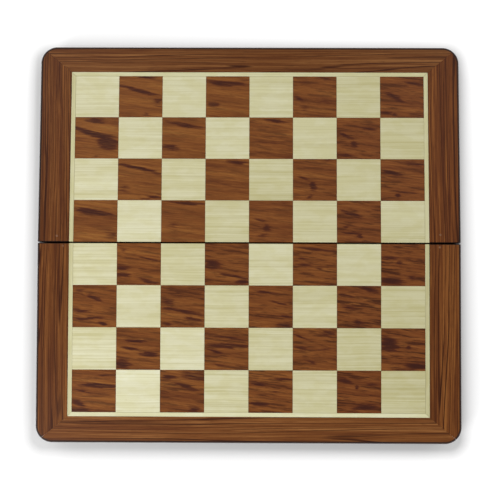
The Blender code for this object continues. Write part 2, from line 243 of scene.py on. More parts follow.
def add_turning(bm, profile, facets, place):
    """Adds a solid of revolution: profile is (radius, height) points from one pole to the other."""
    rings = []
    for radius, height in profile:
        if radius == 0:
            rings.append([bm.verts.new(place @ Vector((0, 0, height)))])
            continue
        ring = []
        for step in range(facets):
            angle = math.tau * step / facets
            point = Vector((radius * math.cos(angle), radius * math.sin(angle), height))
            ring.append(bm.verts.new(place @ point))
        rings.append(ring)
    for lower, upper in zip(rings, rings[1:]):
        for step in range(facets):
            after = (step + 1) % facets
            corners = [lower[step % len(lower)], lower[after % len(lower)]]
            corners += [upper[after % len(upper)], upper[step % len(upper)]]
            unique = []
            for corner in corners:
                if corner not in unique:
                    unique.append(corner)
            bm.faces.new(unique)


def turning_mesh(name, profile, places, facets=turned_facets):
    """Makes mesh data of one turned shape at each of the given places."""
    bm = bmesh.new()
    for place in places:
        add_turning(bm, profile, facets, place)
    return mesh_from(bm, name)


def rod_profile(low, high, radius, ease=0.0):
    """Profile of a round rod, with its ends eased."""
    if not ease:
        return [(0, low), (radius, low), (radius, high), (0, high)]
    profile = [(0, low)]
    for step in range(ease_segments + 1):
        angle = math.pi / 2 * step / ease_segments
        profile.append((radius - ease + ease * math.sin(angle), low + ease - ease * math.cos(angle)))
    for step in range(ease_segments + 1):
        angle = math.pi / 2 * step / ease_segments
        profile.append((radius - ease + ease * math.cos(angle), high - ease + ease * math.sin(angle)))
    return profile + [(0, high)]


def level_edges(bm, height, chosen):
    """The chosen ones of the edges that lie at one height."""
    return [edge for edge in bm.edges
            if all(abs(vertex.co.z - height) < weld_distance for vertex in edge.verts) and chosen(edge)]


def bevel(bm, edges, width, segments=ease_segments):
    """Rounds the given edges."""
    bmesh.ops.bevel(
        bm, geom=edges, offset=width, offset_type="OFFSET", segments=segments, profile=0.5, affect="EDGES"
    )


def evaluated_mesh(mesh, name, prepare):
    """Runs modifiers on a mesh and returns the plain mesh that they make."""
    worked = new_object(name, mesh)
    helpers = prepare(worked) or []
    bpy.context.view_layer.update()
    result = bpy.data.meshes.new_from_object(worked.evaluated_get(bpy.context.evaluated_depsgraph_get()))
    result.name = name
    for used in [worked] + helpers:
        bpy.data.objects.remove(used)
    return result


def carved(mesh, name, tools):
    """Cuts, keeps or joins a mesh with others, exactly. tools are (mesh, operation) pairs."""

    def prepare(worked):
        helpers = []
        for tool_mesh, operation in tools:
            tool = new_object(name + "_tool", tool_mesh)
            modifier = worked.modifiers.new(operation.lower(), "BOOLEAN")
            modifier.operation = operation
            modifier.solver = "EXACT"
            modifier.object = tool
            helpers.append(tool)
        return helpers

    return evaluated_mesh(mesh, name, prepare)


def finished(mesh, name):
    """Shades a mesh smooth up to its sharp edges, with flat faces kept flat."""
    mesh.shade_smooth()
    mesh.set_sharp_from_angle(angle=smooth_angle)

    def prepare(worked):
        modifier = worked.modifiers.new("weighted", "WEIGHTED_NORMAL")
        modifier.keep_sharp = True

    return evaluated_mesh(mesh, name, prepare)


def lay_grain(mesh, along, across, offset, shade=0.5):
    """Stores each point's place in the wood, in metres along, across and into it, and the piece's shade."""
    axes = [Vector(along), Vector(across), Vector((0, 0, 1))]
    values = []
    for vertex in mesh.vertices:
        for axis, shift in zip(axes, offset):
            values.append(vertex.co.dot(axis) + shift)
    mesh.attributes.new("grain", "FLOAT_VECTOR", "POINT").data.foreach_set("vector", values)
    mesh.attributes.new("shade", "FLOAT", "POINT").data.foreach_set("value", [shade] * len(mesh.vertices))


def random_shift():
    """A place in the wood that no other piece has."""
    return [chance.uniform(-5, 5) for _ in range(3)]


def lay_frame_grain(mesh, place, shade):
    """Lays the grain along a piece of the frame: along the fold for an end piece, else away from it."""
    axes = ((1, 0, 0), (0, 1, 0)) if place == "end" else ((0, 1, 0), (1, 0, 0))
    lay_grain(mesh, *axes, random_shift(), shade)


def add_piece(name, mesh, half, material, slot, *nodes):
    """Adds a piece that rides on one half and stands for the given CAD nodes."""
    mesh.materials.clear()
    mesh.materials.append(material)
    piece = new_object(name, mesh)
    piece.matrix_world = half_place(half)
    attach(piece, half + "_half")
    if nodes:
        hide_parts(*nodes)
    return piece


# Material helpers

def tone(red, green, blue):
    """A colour as a screen shows it, from 0 to 255, in linear light."""
    linear = []
    for value in (red, green, blue):
        share = value / 255
        linear.append(share / 12.92 if share <= 0.04045 else ((share + 0.055) / 1.055) ** 2.4)
    return (*linear, 1.0)


def dimmed(colour, share):
    """A colour with its light cut to a share."""
    return (*(part * share for part in colour[:3]), 1.0)


def grey(level):
    """A grey of the given level."""
    return (level, level, level, 1.0)


class Nodes:
    """Short calls that add nodes to a tree."""

    def __init__(self, tree):
        self.tree = tree

    def feed(self, socket, value):
        """Links a socket, or sets it."""
        if isinstance(value, bpy.types.NodeSocket):
            self.tree.links.new(value, socket)
        else:
            socket.default_value = value

    def node(self, kind, *inputs, **settings):
        """Adds a node with the given settings, and feeds its first sockets."""
        made = self.tree.nodes.new(kind)
        for name, value in settings.items():
            setattr(made, name, value)
        for socket, value in zip(made.inputs, inputs):
            self.feed(socket, value)
        return made

    def math(self, operation, first, second=0.5, third=0.5, clamp=False):
        """Adds a Math node and returns its result."""
        made = self.node("ShaderNodeMath", first, second, third, operation=operation, use_clamp=clamp)
        return made.outputs[0]

    def vector(self, operation, *inputs):
        """Adds a Vector Math node and returns its result."""
        made = self.node("ShaderNodeVectorMath", *inputs, operation=operation)
        return made.outputs["Value" if operation == "LENGTH" else "Vector"]

    def joined(self, x, y, z):
        """A vector of three parts."""
        return self.node("ShaderNodeCombineXYZ", x, y, z).outputs[0]

    def parts(self, vector):
        """The three parts of a vector."""
        return self.node("ShaderNodeSeparateXYZ", vector).outputs

    def spread(self, value, middle, gain):
        """A noise value made into a signed one round zero."""
        return self.math("MULTIPLY", self.math("SUBTRACT", value, middle), gain)

    def moved(self, vector, y, z=0.0):
        """A place in the wood, moved across and into it."""
        return self.vector("ADD", vector, self.joined(0.0, y, z))

    def noise(self, vector, factors, detail=2.0, roughness=0.5, distortion=0.0):
        """Noise on a stretched vector, from 0 to 1."""
        made = self.node("ShaderNodeTexNoise")
        self.feed(made.inputs["Vector"], self.vector("MULTIPLY", vector, factors))
        values = {"Scale": 1.0, "Detail": detail, "Roughness": roughness, "Distortion": distortion}
        for name, value in values.items():
            made.inputs[name].default_value = value
        return made.outputs["Fac"]

    def ramp(self, value, stops):
        """A colour ramp through (position, colour) stops."""
        made = self.node("ShaderNodeValToRGB", value)
        elements = made.color_ramp.elements
        while len(elements) < len(stops):
            elements.new(0.5)
        for element, (position, colour) in zip(elements, stops):
            element.position = position
            element.color = colour
        return made.outputs[0]

    def steps(self, value, low, high, start=0.0, end=1.0, kind="SMOOTHSTEP"):
        """A value mapped from one range to another."""
        made = self.node("ShaderNodeMapRange", value, low, high, start, end, interpolation_type=kind)
        return made.outputs[0]

    def mix(self, factor, first, second, blend="MIX"):
        """Two colours mixed."""
        made = self.node("ShaderNodeMix", data_type="RGBA", blend_type=blend)
        self.feed(made.inputs["Factor"], factor)
        self.feed(made.inputs[6], first)
        self.feed(made.inputs[7], second)
        return made.outputs[2]

    def tinted(self, colour, tint):
        """A colour times another."""
        return self.mix(1.0, colour, tint, "MULTIPLY")


class Shading(Nodes):
    """The nodes of a Principled material."""

    def __init__(self, name):
        self.material = bpy.data.materials.new(name)
        self.material.use_nodes = True
        super().__init__(self.material.node_tree)
        self.shader = self.tree.nodes["Principled BSDF"]

    def grain(self):
        """The stored place in the wood."""
        return self.node("ShaderNodeAttribute", attribute_name="grain").outputs["Vector"]

    def shade(self):
        """The stored shade, from 0 for the darkest piece to 1 for the lightest."""
        return self.node("ShaderNodeAttribute", attribute_name="shade").outputs["Fac"]

    def place(self):
        """The place on the object."""
        return self.node("ShaderNodeTexCoord").outputs["Object"]

    def steepness(self):
        """How far the surface leans from level, from 0 on a level face to 1 on an upright one."""
        upward = self.parts(self.node("ShaderNodeTexCoord").outputs["Normal"])[2]
        return self.math("SUBTRACT", 1.0, self.math("ABSOLUTE", upward))

    def bump(self, height, distance, strength):
        """A bump of the given height, in metres."""
        made = self.node("ShaderNodeBump")
        made.inputs["Strength"].default_value = strength
        made.inputs["Distance"].default_value = distance
        self.feed(made.inputs["Height"], height)
        self.feed(self.shader.inputs["Normal"], made.outputs[0])

    def finish(self, colour, roughness, **constants):
        """Sets the shader's colour, roughness and plain numbers, and returns the material."""
        self.feed(self.shader.inputs["Base Color"], colour)
        self.feed(self.shader.inputs["Roughness"], roughness)
        for name, value in constants.items():
            self.shader.inputs[name.replace("_", " ")].default_value = value
        return self.material


def lacquered(s, colour, roughness, height):
    """The satin lacquer that all the wood outside has."""
    s.bump(height, 0.00002, 0.6)
    s.shader.inputs["Specular IOR Level"].default_value = 0.15
    return s.finish(colour, roughness)


def rail_wood(name, deep, middle, light):
    """Dark wood of the frame: growth rings, streaks, fibres, pores, and painted shade on the steep outer
    sides.
    """
    s = Shading(name)
    grain = s.grain()
    drift = s.spread(s.noise(grain, (7, 25, 25), 2), 0.5, 0.004)
    grain = s.moved(grain, drift, drift)
    broad = s.noise(grain, (1.6, 75, 75), 2, 0.5)
    growth = s.noise(grain, (1.5, 70, 40), 1, 0.4)
    lines = s.noise(grain, (7.0, 760, 760), 3, 0.6)
    fibres = s.noise(grain, (24, 1900, 1900), 3, 0.6)
    pores = s.noise(grain, (130, 3200, 3200), 1)
    figure = s.math("ADD", s.spread(lines, 0.5, 1.2), s.spread(fibres, 0.5, 0.8))
    figure = s.math("ADD", s.math("MULTIPLY_ADD", broad, 0.7, 0.15), figure)
    colour = s.ramp(figure, [(0.20, deep), (0.50, middle), (0.80, light)])
    tint = s.mix(s.shade(), grey(0.6), grey(1.4))
    colour = s.tinted(colour, tint)
    rings = s.math("SINE", s.math("MULTIPLY_ADD", lines, 1.6, s.math("MULTIPLY", growth, 95)))
    ringed = s.math("MULTIPLY", s.steps(rings, 0.62, 1.0), s.steps(lines, 0.34, 0.54))
    colour = s.mix(ringed, colour, dimmed(deep, 0.66))
    pitted = s.steps(pores, 0.60, 0.70, 0.0, 0.40)
    colour = s.mix(pitted, colour, dimmed(deep, 0.55))
    # Painted shade: the steep outer sides and roundings are darkened towards a deep brown
    painted_side_shade = s.mix(0.5, s.tinted(colour, grey(0.24)), tone(38, 20, 17))
    colour = s.mix(s.steps(s.steepness(), 0.003, 0.022), colour, painted_side_shade)
    rough = s.math("ADD", 0.38, s.spread(fibres, 0.35, 0.16))
    height = s.math("SUBTRACT", fibres, pitted)
    return lacquered(s, colour, rough, height)


def marked_figure(s, place, leaves):
    """Dark marks in the wood, the strongest at each point.

    Each leaf is a list of marks: (across, down, length, thickness, slope, strength, sag) in hundredths,
    without the sag where there is none. Place and size are shares of a square's side, and a mark fades out
    over the leaves before and after its own."""
    total = 0.0
    for leaf, marks in enumerate(leaves):
        for mark in marks:
            across, down, length, thickness, slope, strength, sag = (part / 100 for part in (*mark, 0)[:7])
            mapping = s.node("ShaderNodeMapping", place, vector_type="TEXTURE")
            mapping.inputs["Location"].default_value = (across, down, leaf)
            mapping.inputs["Rotation"].default_value = (0, 0, math.atan(slope))
            mapping.inputs["Scale"].default_value = (length * 0.78, thickness * 1.5, 0.9)
            x, y, z = s.parts(mapping.outputs[0])
            bent = s.joined(x, s.math("MULTIPLY_ADD", s.math("MULTIPLY", x, x), sag, y), z)
            value = s.node("ShaderNodeTexGradient", bent, gradient_type="SPHERICAL").outputs["Fac"]
            if strength != 1:
                value = s.math("MULTIPLY", value, strength)
            total = s.math("MAXIMUM", total, value)
    return total


def veneer_wood(name, run, density, tint, leaves):
    """Dark veneer of one run of matched leaves: sloping fibres, short dark dashes and the run's own marks."""
    s = Shading(name)
    grain = s.grain()
    x, y, z = s.parts(grain)
    wander = s.spread(s.noise(grain, (60, 180, 40), 3), 0.5, 1.0)
    across = s.math("MULTIPLY_ADD", x, 1 / file_pitch, 0.5)
    down = s.math("MULTIPLY_ADD", y, -1 / rank_pitch, 0.5)
    leaf = s.math("MULTIPLY_ADD", z, 1 / leaf_step, -run * run_step / leaf_step)
    place = s.joined(across, s.math("MULTIPLY_ADD", wander, 0.12, down), leaf)
    sloped = s.moved(grain, s.math("MULTIPLY_ADD", x, 0.10, s.math("MULTIPLY", wander, 0.0012)))
    fibres = s.noise(sloped, (40, 1500, 260), 3, 0.62)
    bands = s.noise(sloped, (10, 170, 60), 2, 0.5, 0.2)
    dashes = s.noise(sloped, (48, 430, 60), 3, 0.62)
    teeth = s.noise(sloped, (45, 1000, 140), 3, 0.65)
    pores = s.noise(sloped, (190, 3000, 900), 1)
    marked = s.math("ADD", marked_figure(s, place, leaves), s.spread(teeth, 0.5, 1.5))
    marked = s.steps(s.math("ADD", marked, s.spread(dashes, 0.5, 1.3)), 0.10, 1.0)
    figure = s.math("ADD", s.math("MULTIPLY_ADD", bands, 0.8, 0.1), s.spread(fibres, 0.5, 1.25))
    body = [(0.15, tone(101, 53, 26)), (0.45, tone(128, 75, 34)),
            (0.60, tone(142, 87, 40)), (0.85, tone(159, 106, 50))]
    # The run's tint: its own hue, and painted light that darkens the runs towards the right of the board
    colour = s.tinted(s.ramp(figure, body), (*tint, 1.0))
    dashed = s.math("ADD", dashes, s.spread(fibres, 0.5, 0.9))
    colour = s.mix(s.steps(dashed, 0.48, 0.64, 0.0, density), colour, tone(68, 32, 18))
    dark = s.ramp(marked, [(0.0, tone(108, 58, 30)), (0.45, tone(90, 44, 24)), (1.0, tone(68, 33, 24))])
    combed = s.math("MULTIPLY", s.steps(marked, 0.0, 0.60), s.steps(teeth, 0.50, 0.64, 1.0, 0.50))
    colour = s.mix(combed, colour, dark)
    pitted = s.steps(pores, 0.60, 0.72, 0.0, 0.30)
    colour = s.mix(pitted, colour, tone(56, 26, 13))
    rough = s.math("ADD", 0.38, s.spread(fibres, 0.4, 0.14))
    return lacquered(s, colour, rough, s.math("SUBTRACT", fibres, pitted))


def pale_wood(name, deep, middle, light):
    """Pale veneer: fine fibres, lines and a little ray fleck, from a warm tone to a whiter one by the stored
    shade, which paints light.
    """
    s = Shading(name)
    grain = s.grain()
    lean = s.steps(s.noise(grain, (0.9, 0.9, 0.9), 0), 0.3, 0.7, -0.09, 0.09)
    wander = s.spread(s.noise(grain, (20, 60, 30), 2), 0.5, 0.002)
    grain = s.moved(grain, wander)
    fibres = s.noise(grain, (12, 1100, 300), 3, 0.6)
    bands = s.noise(grain, (3, 90, 60), 2, 0.5)
    lines = s.noise(grain, (5, 420, 150), 2, 0.5)
    fleck = s.noise(grain, (420, 1500, 300), 1)
    figure = s.math("MULTIPLY_ADD", lines, 0.36, s.spread(fibres, 0.311, 0.8))
    figure = s.math("MULTIPLY_ADD", bands, 0.26, figure)
    colour = s.ramp(s.math("ADD", figure, lean), [(0.22, deep), (0.50, middle), (0.78, light)])
    # The stored shade whitens and cools the colour: painted light, whiter where the light falls stronger
    tint = s.mix(s.shade(), (0.95, 0.95, 0.93, 1.0), (1.18, 1.21, 1.36, 1.0))
    colour = s.tinted(colour, tint)
    clouds = s.steps(s.noise(grain, (70, 150, 60), 2, 0.6), 0.38, 0.62)
    cloud_tint = s.mix(clouds, (1.02, 1.025, 1.06, 1.0), (0.975, 0.97, 0.92, 1.0))
    colour = s.tinted(colour, cloud_tint)
    flecked = s.steps(fleck, 0.62, 0.74, 0.0, 0.14)
    colour = s.mix(flecked, colour, deep)
    rough = s.math("ADD", 0.42, s.spread(fibres, 0.4, 0.12))
    return lacquered(s, colour, rough, fibres)


def plywood_material():
    """Plywood: thin plies through its thickness, and faint grain on its faces."""
    s = Shading("plywood_core")
    place = s.place()
    plies = s.math("SINE", s.math("MULTIPLY", s.parts(place)[2], math.tau / ply_pitch))
    fibres = s.noise(place, (25, 700, 500), 4, 0.6)
    figure = s.math("MULTIPLY_ADD", plies, 0.14, fibres)
    colour = s.ramp(figure, [(0.2, tone(120, 84, 52)), (0.5, tone(176, 138, 94)), (0.8, tone(202, 168, 122))])
    s.bump(fibres, 0.00005, 0.7)
    return s.finish(colour, s.math("MULTIPLY_ADD", fibres, 0.2, 0.55))


def felt_material():
    """Wool felt: matted fibres in slightly different greens."""
    s = Shading("wool_felt")
    place = s.place()
    matted = s.noise(place, (900, 900, 900), 5, 0.7, 0.8)
    clouds = s.noise(place, (60, 60, 60), 3, 0.6)
    figure = s.math("MULTIPLY_ADD", clouds, 0.35, matted)
    colour = s.ramp(figure, [(0.45, tone(24, 58, 38)), (0.68, tone(44, 88, 58)), (0.95, tone(78, 122, 88))])
    s.bump(matted, 0.0003, 0.9)
    return s.finish(
        colour, s.math("MULTIPLY_ADD", matted, 0.1, 0.86), Sheen_Weight=0.35, Sheen_Roughness=0.55
    )


def metal_material(name, dull, bright, roughness, lines):
    """Bright metal with fine drawn lines and a little tarnish."""
    s = Shading(name)
    place = s.place()
    drawn = s.noise(place, lines, 3, 0.6)
    tarnish = s.noise(place, (420, 420, 420), 4, 0.6, 0.4)
    colour = s.ramp(s.math("MULTIPLY_ADD", drawn, 0.25, tarnish), [(0.42, dull), (0.72, bright)])
    s.bump(drawn, 0.00001, 0.5)
    rough = s.math("ADD", roughness, s.math("MULTIPLY", tarnish, 0.14))
    return s.finish(colour, rough, Metallic=1.0)


# Each run of dark leaves: how dark its dashes are, its tint, and its leaves as marked_figure takes them. A
# tint is partly the run's own hue and partly painted light, darker run by run towards the right
VENEER_RUNS = [
    (0.35, (1.07, 1.08, 1.04), [
        [(42, 34, 115, 5.5, 28, 110, 80), (90, 62, 34, 16, 20, 70), (62, 3, 50, 4, 0, 90),
         (64, 93, 22, 5, 0, 80)],
        [(45, 42, 110, 6.5, 30, 130, 110), (75, 60, 46, 17, 25, 140), (48, 9, 50, 8, 10, 90),
         (48, 95, 25, 5, 0, 70)],
        [(50, 26, 110, 5.5, 22, 110, 60), (15, 70, 35, 18, 10, 60), (80, 94, 60, 6, -10, 90)],
        [(50, 31, 115, 6, 16, 130, 50), (90, 86, 35, 12, -10, 70)],
    ]),
    (0.40, (1.03, 1.02, 1.00), [
        [(52, 19, 95, 8, 6, 110, 120), (18, 68, 30, 7, 10, 90)],
        [(60, 22, 95, 6, 17, 110, 90), (20, 72, 45, 8, 0, 90)],
        [(75, 8, 60, 5, 8, 100, 80), (45, 62, 80, 10, 20, 50)],
        [(62, 7, 85, 5, 5, 110, 90), (28, 62, 30, 8, 60, 60)],
    ]),
    (0.60, (0.98, 0.94, 0.96), [
        [(72, 5, 55, 6, 12, 80), (15, 53, 30, 5, 65, 90), (75, 58, 55, 10, 20, 50),
         (25, 80, 25, 8, 0, 60)],
        [(62, 9, 60, 4.5, 15, 100), (60, 60, 60, 8, 10, 50)],
        [(25, 46, 45, 5, 45, 80), (46, 66, 22, 9, 120, 110, 60), (38, 90, 22, 5, -50, 90),
         (80, 3, 45, 4, 0, 90)],
        [(25, 46, 40, 6, 45, 70), (40, 66, 20, 10, 130, 90, 60), (30, 83, 35, 5, 0, 90),
         (82, 6, 40, 4, 0, 60)],
    ]),
    (0.75, (0.95, 0.88, 0.93), [
        [(30, 47, 65, 7, 55, 100), (75, 18, 60, 12, 10, 60), (15, 88, 38, 5, 10, 100),
         (33, 92, 16, 5, 0, 100)],
        [(20, 44, 45, 5, 45, 100), (40, 66, 24, 10, 120, 100, 50), (22, 90, 45, 5, 0, 90),
         (75, 28, 55, 5, 10, 80)],
        [(26, 33, 60, 6, 38, 110), (80, 10, 50, 9, 10, 80), (45, 80, 80, 4, 0, 80),
         (39, 86, 16, 6, 0, 110)],
        [(32, 31, 62, 5, 42, 120), (20, 62, 20, 6, 0, 80), (30, 80, 70, 5, 5, 90),
         (52, 84, 18, 6, 0, 110)],
    ]),
    (0.65, (1.06, 1.03, 0.98), [
        [(15, 16, 25, 5, 20, 80), (70, 36, 60, 4.5, 22, 80), (12, 58, 40, 7, 5, 100),
         (14, 75, 40, 6, 5, 110), (75, 90, 60, 5, 22, 100)],
        [(50, 31, 42, 5, 35, 120), (15, 13, 30, 6, 0, 70), (22, 62, 40, 5, 10, 80),
         (35, 79, 75, 3.5, 0, 110), (70, 90, 25, 6, 30, 100)],
        [(45, 34, 55, 4.5, 0, 120), (30, 50, 50, 4.5, 15, 90), (75, 64, 55, 7, 5, 110),
         (14, 86, 45, 12, 20, 110)],
        [(62, 37, 95, 6.5, 6, 140), (75, 13, 50, 3, 5, 100), (22, 50, 50, 4, 25, 90),
         (18, 81, 42, 7, 25, 110), (20, 95, 45, 3.5, 0, 130)],
    ]),
    (0.75, (1.01, 0.98, 0.97), [
        [(16, 50, 42, 14, 10, 110), (60, 76, 90, 5, 22, 90), (85, 90, 40, 8, 10, 100)],
        [(20, 38, 40, 5, 10, 100), (22, 54, 45, 6, 10, 100), (60, 64, 80, 5, 18, 90),
         (75, 80, 60, 4, 20, 100), (18, 92, 35, 4.5, 0, 100)],
        [(55, 42, 110, 5.5, 5, 110), (25, 57, 45, 4, 30, 100), (60, 25, 70, 5, 10, 80),
         (30, 87, 40, 4, 20, 70)],
        [(75, 14, 70, 11, 10, 110), (20, 16, 35, 5, 0, 110), (55, 38, 60, 4.5, 35, 90),
         (78, 90, 30, 8, 0, 100)],
    ]),
    (0.80, (1.00, 0.95, 0.94), [
        [(50, 14, 80, 5, 15, 90), (20, 35, 35, 4, 20, 80), (25, 50, 50, 5, 0, 80), (60, 57, 30, 4, 0, 60)],
        [(35, 15, 60, 4, 10, 90), (72, 42, 60, 4, 30, 90), (85, 74, 40, 4, 20, 100),
         (82, 93, 40, 6, 0, 110)],
        [(18, 20, 45, 4, 35, 100), (82, 12, 40, 6, 10, 100), (18, 47, 35, 7, 10, 90),
         (75, 50, 50, 4, 0, 80), (45, 82, 40, 5, 30, 80)],
        [(80, 20, 45, 5, 10, 90), (18, 30, 40, 4.5, 30, 110), (55, 52, 60, 3, -20, 70),
         (22, 79, 50, 5, 5, 120)],
    ]),
    (0.90, (0.95, 0.87, 0.90), [
        [(20, 34, 50, 5, 0, 100), (42, 43, 14, 6, 0, 100), (25, 88, 60, 9, 5, 120),
         (68, 80, 30, 8, 10, 80)],
        [(76, 10, 50, 6, 22, 110), (20, 22, 35, 5, 40, 90), (25, 50, 35, 7, 10, 80),
         (47, 86, 30, 7, 10, 100)],
        [(18, 38, 45, 20, 10, 130), (62, 44, 13, 6, 0, 100), (80, 90, 60, 10, 0, 120)],
        [(20, 24, 40, 7, 25, 100), (45, 40, 13, 7, 0, 110), (80, 32, 40, 5, 10, 80),
         (60, 87, 75, 7, -10, 110)],
    ]),
]

side_wood = rail_wood("rosewood_side", tone(76, 36, 17), tone(109, 60, 25), tone(146, 91, 42))
end_wood = rail_wood("rosewood_end", tone(84, 41, 19), tone(118, 69, 31), tone(151, 100, 54))
strip_wood = pale_wood("maple_stringing", tone(203, 195, 148), tone(220, 215, 169), tone(231, 226, 188))
field_wood = pale_wood("maple_field", tone(199, 191, 140), tone(217, 211, 167), tone(229, 225, 186))
plug_wood = pale_wood("maple_plug", tone(112, 74, 50), tone(128, 90, 62), tone(146, 106, 76))
run_woods = [veneer_wood(f"rosewood_veneer_{run + 1}", run, *looks) for run, looks in enumerate(VENEER_RUNS)]
ply = plywood_material()
green_felt = felt_material()
brass = metal_material("drawn_brass", tone(178, 134, 62), tone(226, 188, 110), 0.24, (60, 4000, 4000))
nickel = metal_material("nickel", tone(176, 174, 168), tone(214, 212, 206), 0.18, (900, 900, 900))


# Frame rails

def arc(centre, radius, start, end):
    """Points of a round stretch between two angles in degrees."""
    points = []
    for step in range(corner_steps + 1):
        angle = math.radians(start + (end - start) * step / corner_steps)
        points.append((centre[0] + radius * math.cos(angle), centre[1] + radius * math.sin(angle)))
    return points


def mirrored(points):
    """The same points on the other side of the middle, in reverse order."""
    return [(-x, y) for x, y in reversed(points)]


def frame_stock():
    """The moulding of one half before it is hollowed and mitred, with its outer edges rounded."""
    corner = arc((P.half_width - corner_radius, P.half_depth - corner_radius), corner_radius, 0, 90)
    outer = [(P.half_width, P.fold_y)] + corner
    outer = outer + mirrored(outer)
    inner = [(-ledge_x, P.fold_y), (-ledge_x, ledge_y), (ledge_x, ledge_y), (ledge_x, P.fold_y)]
    bm = bmesh.new()
    add_plate(bm, outer + inner, (P.rim_z, P.top_z))

    def outside(edge):
        at_fold = all(vertex.co.y < P.fold_y + weld_distance for vertex in edge.verts)
        beyond = all(abs(v.co.x) > P.cavity_x or v.co.y > P.cavity_y for v in edge.verts)
        return beyond and not at_fold

    bevel(bm, level_edges(bm, P.top_z, outside), top_round_radius, round_segments)
    bevel(bm, level_edges(bm, P.rim_z, outside), rim_ease)
    return mesh_from(bm, "frame_stock")


def mitre_region(place, right_sign):
    """Plan of the part of the moulding that one rail keeps, up to a hairline from the mitre."""
    outer_x = P.half_width + overrun
    inner_x = ledge_x - overrun
    drop = hairline * math.hypot(1, mitre_slope) * (1 if place == "end" else -1)
    outer_y = P.half_depth + (outer_x - P.half_width) * mitre_slope + drop
    inner_y = P.half_depth - (P.half_width - inner_x) * mitre_slope + drop
    if place == "end":
        right = [(inner_x, inner_y), (outer_x, outer_y)]
        return right + mirrored(right)
    side = right_sign if place == "right" else -right_sign
    points = [(outer_x, -overrun), (outer_x, outer_y), (inner_x, inner_y), (inner_x, -overrun)]
    return [(side * x, y) for x, y in points]


def plate_mesh(name, outline, z_span):
    """Mesh data of a flat plate."""
    bm = bmesh.new()
    add_plate(bm, outline, z_span)
    return mesh_from(bm, name)


def ease_fold_end(mesh):
    """Eases the outline of the face that a rail shows at the fold."""
    bm = bmesh.new()
    bm.from_mesh(mesh)
    bmesh.ops.dissolve_limit(bm, angle_limit=math.radians(0.3), verts=bm.verts, edges=bm.edges)

    def at_fold(item):
        return all(abs(vertex.co.y - P.fold_y) < weld_distance for vertex in item.verts)

    edges = [edge for edge in bm.edges if at_fold(edge)]
    edges = [edge for edge in edges if not all(at_fold(face) for face in edge.link_faces)]
    bevel(bm, edges, fold_ease)
    return mesh_from(bm, mesh.name)


# How light each rail is beside the others
RAIL_SHADES = {("rear", "left"): 0.45, ("rear", "right"): 0.70, ("rear", "end"): 0.43,
               ("front", "left"): 0.45, ("front", "right"): 0.59, ("front", "end"): 0.65}


def dress_rails(half, right_sign):
    """The two side rails and the end rail of one half."""
    height = (P.rim_z - overrun, P.top_z + overrun)
    cavity = box_mesh(
        "cavity",
        ((-P.cavity_x, P.cavity_x), (-overrun, P.cavity_y), (height[0], P.flange_z)),
    )
    rebate_x = P.frame_x + inlay_line
    rebate_y = P.frame_y + inlay_line
    rebate = box_mesh("rebate", ((-rebate_x, rebate_x), (-overrun, rebate_y), (ledge_z, height[1])))
    pocket_span = (height[0], P.rim_z + magnet_size()[1] + hardware_fit)
    for place in ("right", "left", "end"):
        name = f"{half}_{place}_rail"
        saw = plate_mesh("saw", mitre_region(place, right_sign), height)
        tools = [(cavity, CUT), (rebate, CUT), (saw, KEEP)]
        if place == "end":
            pocket = rod_profile(*pocket_span, magnet_size()[0] + hardware_fit)
            tools.append((turning_mesh("pocket", pocket, [magnet_place()]), CUT))
        else:
            side = right_sign if place == "right" else -right_sign
            tools.append((brad_mesh("brad_hole", half, side, brad_radius), CUT))
        mesh = carved(frame_stock(), name, tools)
        if place != "end":
            mesh = ease_fold_end(mesh)
        mesh = finished(mesh, name + "_dressed")
        lay_frame_grain(mesh, place, RAIL_SHADES[half, place])
        add_piece(name + "_dressed", mesh, half, end_wood if place == "end" else side_wood, "rosewood", name)
        if place != "end":
            dress_brad(half, place, side)


# Filled brad heads by the fold: distance from the middle and from the fold, by half and world side
BRADS = {("rear", 1): (0.1380, 0.0059), ("rear", -1): (0.1389, 0.0044),
         ("front", 1): (0.1375, 0.0024), ("front", -1): (0.1345, 0.0022)}


def brad_mesh(name, half, side, radius, reach=overrun):
    """A short upright dowel at the brad of one side rail."""
    world_side = side if half == "rear" else -side
    x, y = BRADS[half, world_side]
    profile = rod_profile(P.top_z - brad_depth, P.top_z + reach, radius)
    return turning_mesh(name, profile, [Matrix.Translation((side * x, y, 0))], brad_facets)


def dress_brad(half, place, side):
    """The plug over the brad that pins a side rail to the hinge rail."""
    name = f"{half}_{place}_brad_plug"
    mesh = finished(brad_mesh(name, half, side, brad_radius - hairline / 2, brad_proud), name)
    lay_grain(mesh, (1, 0, 0), (0, 1, 0), random_shift())
    add_piece(name, mesh, half, plug_wood, "rosewood")


# Magnets, hinges and hinge rails

def magnet_size():
    """Radius and thickness of the magnets."""
    low, high = span("rear_magnet")
    return (high.x - low.x) / 2, high.z - low.z


def magnet_place():
    """Middle of a half's magnet, in plan."""
    low, high = span("rear_magnet")
    return Matrix.Translation(((low.x + high.x) / 2, (low.y + high.y) / 2, 0))


def dress_magnet(half):
    """The disc magnet, set flush in the rim."""
    radius, thickness = magnet_size()
    name = half + "_magnet"
    profile = rod_profile(P.rim_z, P.rim_z + thickness, radius, magnet_ease)
    mesh = finished(turning_mesh(name + "_dressed", profile, [magnet_place()]), name + "_dressed")
    add_piece(name + "_dressed", mesh, half, nickel, "nickel_plate", name)


def hinge_spans():
    """Each hinge's leaf box in the rear half's frame, from the left one to the right one."""
    return [span(side + "_hinge_rear_leaf") for side in ("left", "right")]


def hinge_middles():
    """Middles of the hinges along the fold."""
    return [(low.x + high.x) / 2 for low, high in hinge_spans()]


leaf_low, leaf_high = hinge_spans()[0]
pin_low, pin_high = span("left_hinge_pin")
knuckle_radius = leaf_high.z
pin_radius = pin_high.z
pin_reach = (pin_high.x - pin_low.x) / 2
hinge_length = leaf_high.x - leaf_low.x + P.gap
leaf_width = leaf_high.y


